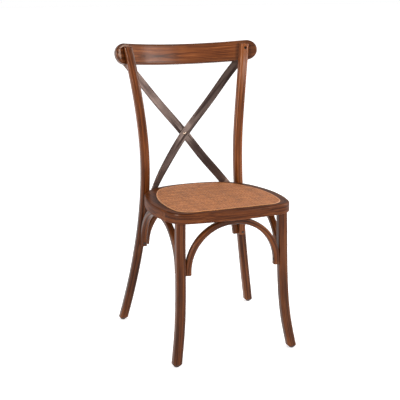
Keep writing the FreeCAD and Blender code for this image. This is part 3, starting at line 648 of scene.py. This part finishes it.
def strandFinish(name, axis, seed):
    shader = Shader(name)
    x, y, z = shader.place()
    along, across = (x, y) if axis == 0 else (y, x)
    row = (across / (strand["pitch"] / 1000)).combine("ROUND")
    perStrand = shader.node("ShaderNodeTexWhiteNoise", {"noise_dimensions": "1D"}, {"W": row * 1.37 + seed})
    fibre = shader.noise(shader.point(along * 60.0 + seed, across * 2600.0, 0.0), 1.0, 3.0, 0.6)
    blotch = shader.noise(shader.point(along * 34.0, across * 34.0, seed), 1.0, 4.0, 0.6)
    knot = shader.fade(shader.noise(shader.point(along * 16.0, row * 7.31, seed), 1.0, 1.0), 0.66, 0.72)
    tone = perStrand * 0.16 + fibre * 0.38 + blotch * 0.56 - 0.06
    colour = shader.ramp(tone, (0.24, strand["dark"]), (0.50, strand["mid"]), (0.76, strand["light"]))
    colour = shader.mix(knot * 0.45, colour, strand["knot"])
    return shader.finish(colour, 0.42 + fibre * 0.2, fibre * 0.7 + blotch * 0.2, 0.25, 0.0002,
                         Coat_Weight=0.12, Coat_Roughness=0.3)


def weaveSeat():
    pitch, trim, lift = strand["pitch"], strand["trim"], strand["lift"]
    flat, rises, faces, slots = [], [], [], []
    for axis in (0, 1):
        # axis 0: strands that run along x, one for each row of y
        low = outline[:, 1 - axis].min()
        high = outline[:, 1 - axis].max()
        for row in range(math.ceil(low / pitch - 0.3), math.floor(high / pitch + 0.3) + 1):
            # each line along the strand is cut where it meets the edge
            lines = [row * pitch + across * strand["width"] for across, _ in strand["profile"]]
            lines = [min(max(value, low + trim), high - trim) for value in lines]
            cuts = [crossings(value, 1 - axis) for value in lines]
            start = min(near for near, _ in cuts)
            end = max(far for _, far in cuts)
            if end - start < 2 * pitch:
                continue
            half = pitch / 2
            places = [i * half for i in range(math.ceil(start / half), math.floor(end / half) + 1)]
            inner = [place for place in places if start + trim < place < end - trim]
            places = [start + trim] + inner + [end - trim]
            first = len(flat)
            for place in places:
                wave = math.cos(math.pi * place / pitch)
                if row % 2 != axis:
                    wave = -wave  # over where the crossing strand goes under
                for (_, rise), line, (near, far) in zip(strand["profile"], lines, cuts):
                    kept = min(max(place, near + trim), far - trim)
                    fade = max(0.0, min(1.0, min(kept - near, far - kept) / strand["settle"]))
                    flat.append((kept, line) if axis == 0 else (line, kept))
                    rises.append(wave * lift * fade + (rise - 0.5) * strand["thickness"] - lift)
            count = len(strand["profile"])
            for i in range(len(places) - 1):
                for j in range(count - 1):
                    a = first + i * count + j
                    quad = (a + 1, a + count + 1, a + count, a)
                    faces.append(quad if axis == 0 else quad[::-1])
                    slots.append(axis)
    flat = np.array(flat)
    top = matTop(flat, edgeDistance(flat)) + np.array(rises)
    finishes = [strandFinish("rattanWeft", 0, 3.0), strandFinish("rattanWarp", 1, 8.0)]
    weave = meshPiece("rattanWeave", tilted(np.column_stack([flat, top])), faces, finishes, slots)
    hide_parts("rattan_mat")


# dark pad that shows between the strands, closed at the bottom; its dark colour is painted shade in the gaps
# and under the edge
gapShadePad = {"rings": [0.0, 0.6, 1.4, 2.4, 3.6, 6.0, 14.0, 30.0, 60.0, 100.0, 140.0], "drop": (0.95, 0.35),
          "dropReach": 4, "leastHeight": 0.2, "dark": (0.025, 0.008, 0.003), "light": (0.070, 0.023, 0.008)}


def gapShadeCore():
    centre = np.array([0.0, matMiddle])
    away = outline - centre
    length = np.sqrt((away ** 2).sum(1))
    count = len(outline)
    base = seatMat["base"]
    least, more = gapShadePad["drop"]
    layers = [np.column_stack([outline, np.full(count, base)])]
    for inset in gapShadePad["rings"]:
        ring = centre + away * ((length - inset) / length)[:, None]
        drop = least + more * min(inset / gapShadePad["dropReach"], 1)
        top = matTop(ring, np.full(count, inset)) - drop
        layers.append(np.column_stack([ring, np.maximum(top, base + gapShadePad["leastHeight"])]))
    rows = len(layers)
    peak = matTop(centre[None], np.array([seatMat["roll"]]))[0] - least - more
    points = np.vstack(layers + [np.array([[centre[0], centre[1], peak]])])
    last = (rows - 1) * count
    faces = ringFaces(rows, count)
    faces += [(last + i, last + (i + 1) % count, rows * count) for i in range(count)]
    faces.append(tuple(range(count - 1, -1, -1)))
    shader = Shader("rattanGapShade")
    x, y, z = shader.place()
    mottle = shader.noise(shader.point(x, y, z), 320.0, 4.0)
    fibre = shader.noise(shader.point(x * 1800.0, y * 120.0, z * 120.0), 1.0, 2.0)
    colour = shader.ramp(mottle * 0.6 + fibre * 0.4, (0.3, gapShadePad["dark"]), (0.7, gapShadePad["light"]))
    core = meshPiece("rattanGapShade", tilted(points), faces, [shader.finish(colour, 0.7, fibre, 0.2, 0.0002)])
    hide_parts("rattan_mat")


# split cane laid round the edge over the strand ends
# the binding is coloured lighter than the strands: the cane's own colour with a painted highlight along the
# rim
binding = {"half": (1.7, 1.05), "inset": 1.8, "drop": 0.5, "segments": 14, "dark": (0.240, 0.080, 0.0200),
           "mid": (0.520, 0.200, 0.0600), "light": (0.780, 0.380, 0.1500)}


def bindingFinish():
    shader = Shader("rattanBinding")
    x, y, z = shader.place()
    around = y.combine("ARCTAN2", x)
    out = (x * x + y * y) ** 0.5
    fibre = shader.noise(shader.point(around * 10.0, out * 2400.0, z * 2400.0), 1.0, 3.0, 0.6)
    blotch = shader.noise(shader.point(around * 7.0, z * 90.0, 4.0), 1.0, 4.0, 0.6)
    colour = shader.ramp(fibre * 0.5 + blotch * 0.5, (0.25, binding["dark"]), (0.50, binding["mid"]),
                         (0.80, binding["light"]))
    return shader.finish(colour, 0.34 + fibre * 0.2, fibre, 0.25, 0.0002,
                         Coat_Weight=0.15, Coat_Roughness=0.25)


def matBinding():
    ahead = np.roll(outline, -1, axis=0) - np.roll(outline, 1, axis=0)
    ahead /= np.sqrt((ahead ** 2).sum(1))[:, None]
    inward = np.column_stack([-ahead[:, 1], ahead[:, 0]])
    halfWidth, halfHeight = binding["half"]
    centre = outline + inward * binding["inset"]
    height = matTop(centre, np.full(len(centre), binding["inset"])) - binding["drop"]
    rings = []
    for k in range(binding["segments"]):
        angle = 2 * math.pi * k / binding["segments"]
        at = centre + inward * (halfWidth * math.cos(angle))
        rings.append(np.column_stack([at, height + halfHeight * math.sin(angle)]))
    points = np.stack(rings, 1).reshape(-1, 3)
    faces = ringFaces(len(outline), binding["segments"], closed=True)
    piece = meshPiece("rattanBinding", tilted(points), faces, [bindingFinish()])
    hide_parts("rattan_mat")


weaveSeat()
gapShadeCore()
matBinding()
print("seat woven")

# screws with a cross recess in place of the plain ones, in millimetres
screwHead = {"recess": 2.3, "recessEase": 0.5, "slot": 0.7425, "slotEase": 0.3, "depth": 0.9, "rings": 14,
             "segments": 40}
screwSlots = {"crest_rail_screws": (screwSteel, "screw_steel"),
              "strap_screws_upper": (screwSteel, "strap_screw_steel"),
              "strap_screws_lower": (screwSteel, "strap_screw_steel"),
              "arch_leg_screws": (screwSteel, "screw_steel"),
              "arch_seat_screws": (screwSteel, "screw_steel"),
              "seat_panel_screws": (zincSteel, "screw_steel")}


def islandsOf(node):
    # the points of each separate screw in a node, sorted so that every run gives the same order
    work = bmesh.new()
    work.from_mesh(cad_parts[node].data)
    bmesh.ops.remove_doubles(work, verts=work.verts, dist=1e-6)
    islands = []
    left = set(work.verts)
    while left:
        island = {left.pop()}
        border = list(island)
        while border:
            for edge in border.pop().link_edges:
                for vertex in edge.verts:
                    if vertex in left:
                        left.remove(vertex)
                        island.add(vertex)
                        border.append(vertex)
        islands.append(sorted(tuple(v.co) for v in island))
    work.free()
    return [np.array(island) * 1000 for island in sorted(islands)]


def fromLine(points, line, axis):
    # distance of each point from a line
    spread = points - line
    radial = spread - np.outer(spread @ axis, axis)
    return np.sqrt((radial ** 2).sum(1))


def screwPlace(points, tip=2.5):
    # seat of the head, direction out of the head, and sizes
    centred = points - points.mean(0)
    axis = np.linalg.svd(centred, full_matrices=False)[2][0]
    along = centred @ axis
    reach = fromLine(points, points.mean(0), axis)
    if reach[along < along.min() + tip].max() > reach[along > along.max() - tip].max():
        axis = -axis  # the wide end is the head
    along = points @ axis
    line = points[along < along.min() + 0.5].mean(0)
    reach = fromLine(points, line, axis)
    radius = reach.max()
    shank = reach[along < along.min() + 2].max()
    wide = along[reach > radius * 0.97].min()
    seat = line + axis * (wide - line @ axis)
    return seat, axis, radius, along.max() - wide, wide - along.min(), shank


def acrossAxis(axis):
    # two directions square to the axis
    helper = (0.0, 0.0, 1.0) if abs(axis[2]) < 0.9 else (1.0, 0.0, 0.0)
    u = np.cross(axis, helper)
    u /= np.linalg.norm(u)
    return u, np.cross(axis, u)


def headHeight(a, b, distance, sphere, rise, turn):
    # the domed head with the cross pressed into it
    height = math.sqrt(max(sphere ** 2 - distance ** 2, 0)) - (sphere - rise)
    turnedA = abs(a * math.cos(turn) - b * math.sin(turn))
    turnedB = abs(a * math.sin(turn) + b * math.cos(turn))
    arm = min(turnedA, turnedB)
    reach = max(turnedA, turnedB)
    if reach < screwHead["recess"]:
        wall = min(1.0, max(0.0, (screwHead["slot"] - arm) / screwHead["slotEase"]))
        end = min(1.0, (screwHead["recess"] - reach) / screwHead["recessEase"])
        height -= screwHead["depth"] * wall * end
    return height


def crossScrew(node, material):
    rings, segments = screwHead["rings"], screwHead["segments"]
    points, faces = [], []
    for island in islandsOf(node):
        seat, axis, radius, rise, length, shank = screwPlace(island)
        u, v = acrossAxis(axis)
        sphere = (radius ** 2 + rise ** 2) / (2 * rise)
        first = len(points)
        turn = (first * 0.37) % 1.57  # each cross stands at its own angle
        profile = [(shank * 0.35, -length), (shank, -length + shank * 0.9), (shank, -0.2), (shank, 0.0),
                   (radius * 0.94, 0.0), (radius, 0.12)]
        profile += [(radius * math.cos(0.5 * math.pi * (i / rings) ** 0.9), None) for i in range(1, rings)]
        for distance, height in profile:
            for k in range(segments):
                angle = 2 * math.pi * k / segments
                a = distance * math.cos(angle)
                b = distance * math.sin(angle)
                h = headHeight(a, b, distance, sphere, rise, turn) if height is None else height
                points.append((seat + u * a + v * b + axis * h) / 1000)
        tip = len(points)
        points.append((seat - axis * (length + 0.01)) / 1000)
        points.append((seat + axis * (rise - screwHead["depth"])) / 1000)
        faces += ringFaces(len(profile), segments, first)
        last = first + (len(profile) - 1) * segments
        for k in range(segments):
            n = (k + 1) % segments
            faces.append((first + n, first + k, tip))
            faces.append((last + k, last + n, tip + 1))
    piece = meshPiece(node + ".cross", points, faces, [material])
    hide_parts(node)


for node, (material, slotName) in screwSlots.items():
    crossScrew(node, material)
print("screws set")

# stained plug that closes the bore in the left post; the right post's plug is missing
postPlug = {"leg": "rear_leg_left", "screws": "crest_rail_screws", "diameter": 8.9, "front": 3.85,
            "gap": 0.1, "crown": 0.5, "segments": 48}


def plugPiece():
    island = [i for i in islandsOf(postPlug["screws"]) if i[:, 0].mean() < 0][0]
    seat, axis, _, rise, _, _ = screwPlace(island)
    u, v = acrossAxis(axis)
    size = postPlug["diameter"] / 2
    front = postPlug["front"]
    profile = [(size, rise + postPlug["gap"]), (size, front - 0.5), (size - 0.15, front - 0.2),
               (size - 0.5, front)]
    for inward in (0.3, 0.5, 0.7, 0.85):
        profile.append((size * (1 - inward), front + postPlug["crown"] * (1 - (1 - inward) ** 2)))
    count = postPlug["segments"]
    points = []
    for distance, height in profile:
        for k in range(count):
            angle = 2 * math.pi * k / count
            out = u * math.cos(angle) + v * math.sin(angle)
            points.append((seat + out * distance + axis * height) / 1000)
    faces = ringFaces(len(profile), count)
    top = (len(profile) - 1) * count
    faces.append(tuple(range(top, top + count)))
    faces.append(tuple(range(count - 1, -1, -1)))
    piece = meshPiece("postPlug", points, faces, [bpy.data.materials["walnutStain." + postPlug["leg"]]])


plugPiece()
print("post plug set")

# pale floor, soft lights and the camera at the photo's angle
studio = {"floorSize": 60.0, "floorGrid": 8,
          "floorDark": (0.90, 0.90, 0.90), "floorLight": (0.93, 0.93, 0.93),
          "glowNear": (0.45, 0.45, 0.45), "glowFar": (0.88, 0.88, 0.88), "glowReach": (0.6, 5.0),
          "horizon": (1.0, 1.0, 1.0), "ceiling": (0.24, 0.24, 0.24), "skyReach": (0.24, 0.62),
          "camera": (-0.9582, -2.3562, 1.0805), "pitch": 75.498, "yaw": -21.674, "lens": 76.90, "sensor": 36}

softBoxes = {"leftBox": {"at": (-2.3, -0.9, 1.7), "aim": 0.6, "size": (0.4, 1.6), "power": 36},
             "frontRightStrip": {"at": (1.86, -2.06, 1.42), "aim": 0.85, "size": (1.3, 0.5), "power": 32},
             "frontBox": {"at": (0.9, -2.0, 2.9), "aim": 0.6, "size": (1.8, 1.4), "power": 24},
             "sideRightBox": {"at": (2.4, 0.3, 1.5), "aim": 0.7, "size": (0.4, 1.8), "power": 26},
             "topBox": {"at": (0.0, 0.7, 3.0), "aim": 0.5, "size": (2.4, 1.8), "power": 20}}

# warm cards that show only as highlights on the rounded corners
warmCards = {"leftCard": {"at": (-2.5, -1.0, 1.25), "aim": 0.7, "size": (0.45, 1.6), "power": 85},
             "rightCard": {"at": (2.5, -0.45, 1.25), "aim": 0.7, "size": (0.45, 1.6), "power": 38}}
cardColour = (1.0, 0.80, 0.64)


def floorPiece():
    work = bmesh.new()
    grid = studio["floorGrid"]
    bmesh.ops.create_grid(work, x_segments=grid, y_segments=grid, size=studio["floorSize"] / 2)
    mesh = bpy.data.meshes.new("studioFloor")
    work.to_mesh(mesh)
    work.free()
    piece = bpy.data.objects.new("studioFloor", mesh)
    bpy.context.collection.objects.link(piece)
    shader = Shader("paleFloor")
    x, y, z = shader.place()
    cloud = shader.noise(shader.point(x, y, z), 1.3, 3.0)
    colour = shader.ramp(cloud, (0.3, studio["floorDark"]), (0.7, studio["floorLight"]))
    out = (x * x + y * y) ** 0.5
    glow = shader.mix(shader.fade(out, *studio["glowReach"]), studio["glowNear"], studio["glowFar"])
    mesh.materials.append(shader.finish(colour, 0.65 + cloud * 0.1,
                                        Emission_Color=glow, Emission_Strength=1.0))


def softLight(name, at, aim, size, power, colour=(1, 1, 1)):
    data = bpy.data.lights.new(name, "AREA")
    data.shape = "RECTANGLE"
    data.size, data.size_y = size
    data.energy = power
    data.color = colour
    lamp = bpy.data.objects.new(name, data)
    lamp.location = at
    lamp.rotation_euler = (Vector((0, 0, aim)) - Vector(at)).to_track_quat("-Z", "Y").to_euler()
    bpy.context.collection.objects.link(lamp)
    return lamp


floorPiece()
for name, box in softBoxes.items():
    softLight(name, **box)
for name, card in warmCards.items():
    softLight(name, **card, colour=cardColour).visible_diffuse = False

air = Shader("studioAir", bpy.data.worlds)
heading = air.node("ShaderNodeTexCoord", output="Generated")
upward = air.node("ShaderNodeSeparateXYZ", values={0: heading}, output=2)
sky = air.mix(air.fade(upward, *studio["skyReach"]), studio["horizon"], studio["ceiling"])
air.node("ShaderNodeOutputWorld", values={"Surface": air.node("ShaderNodeBackground", values={"Color": sky})})
bpy.context.scene.world = air.material
bpy.context.scene.view_settings.view_transform = "Standard"

cameraData = bpy.data.cameras.new("photoCamera")
cameraData.sensor_width = studio["sensor"]
cameraData.lens = studio["lens"]
camera = bpy.data.objects.new("photoCamera", cameraData)
camera.location = studio["camera"]
camera.rotation_euler = (math.radians(studio["pitch"]), 0, math.radians(studio["yaw"]))
bpy.context.collection.objects.link(camera)
bpy.context.scene.camera = camera
print("studio ready")
